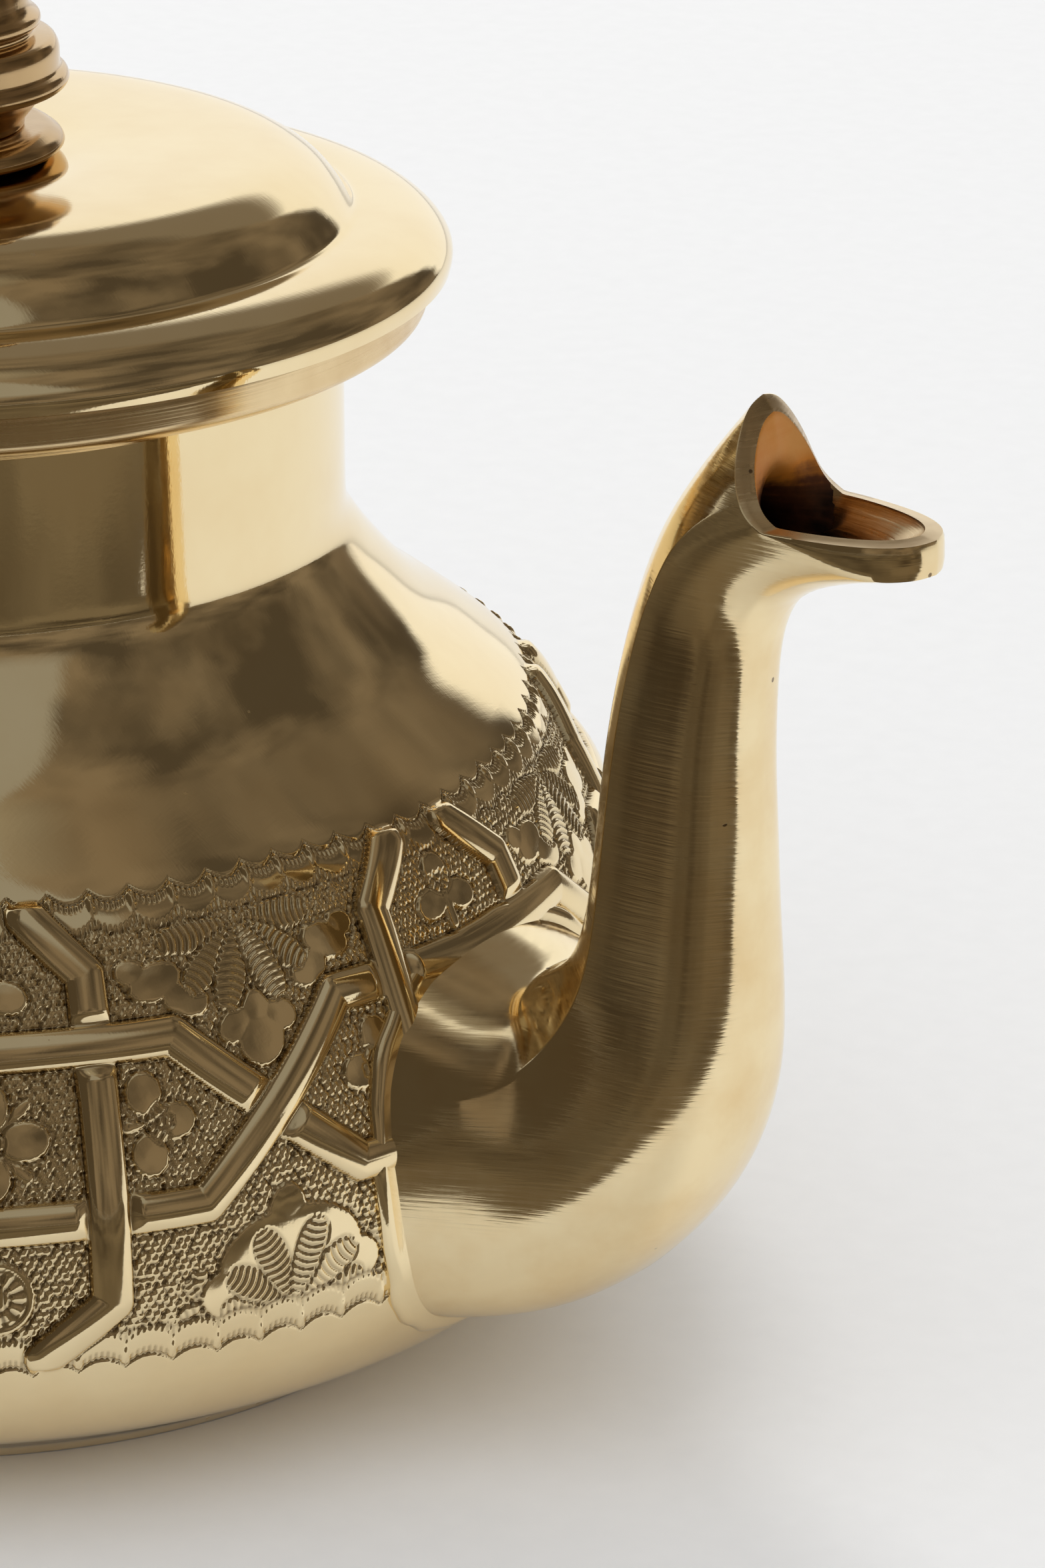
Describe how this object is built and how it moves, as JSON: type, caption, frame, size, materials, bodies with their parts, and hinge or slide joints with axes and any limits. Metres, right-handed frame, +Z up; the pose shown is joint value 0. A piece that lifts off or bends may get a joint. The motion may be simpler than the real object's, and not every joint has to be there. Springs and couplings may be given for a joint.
{
  "type": "brass teapot",
  "caption": "Polished brass tea or coffee pot with a round embossed belly, goose-neck spout with a beaked mouth, hinged domed lid with a turned knob, and a C handle.",
  "frame": {"origin": "centre of the flat base, in the plane on which the pot stands", "axes": "+Z up along the pot's axis, +X towards the spout, -X towards the handle and the lid's hinge"},
  "size_m": [0.2052, 0.1252, 0.136],
  "materials": {
    "polished_brass": "mirror polished",
    "brushed_brass": "brushed",
    "cast_brass": "cast and hand polished",
    "aged_brass": "turned, darkened with age",
    "steel": "plain",
    "black_fibre": "matt"
  },
  "bodies": {
    "pot": {"body_shell": "polished_brass", "base_plate": "polished_brass", "neck_collar": "brushed_brass", "spout": "cast_brass", "spout_flange": "cast_brass", "strainer_plate": "brushed_brass", "hinge_bracket": "cast_brass", "hinge_pin": "steel", "upper_socket": "cast_brass", "lower_socket": "cast_brass", "upper_insulator": "black_fibre", "lower_insulator": "black_fibre", "handle": "cast_brass", "handle_studs": "steel"},
    "lid": {"lid_shell": "polished_brass", "lid_skirt": "brushed_brass", "hinge_leaf": "cast_brass", "hinge_rivets": "brushed_brass", "knob_washer": "aged_brass", "knob_finial": "aged_brass", "knob_stud": "steel", "knob_flat_washer": "steel", "knob_nut": "steel"}
  },
  "joints": [
    {"name": "lid_hinge", "type": "hinge", "parent": "pot", "child": "lid", "pos_m": [-0.0486, 0, 0.0933], "axis": [0, -1, 0], "range_deg": [0, 100]}
  ]
}
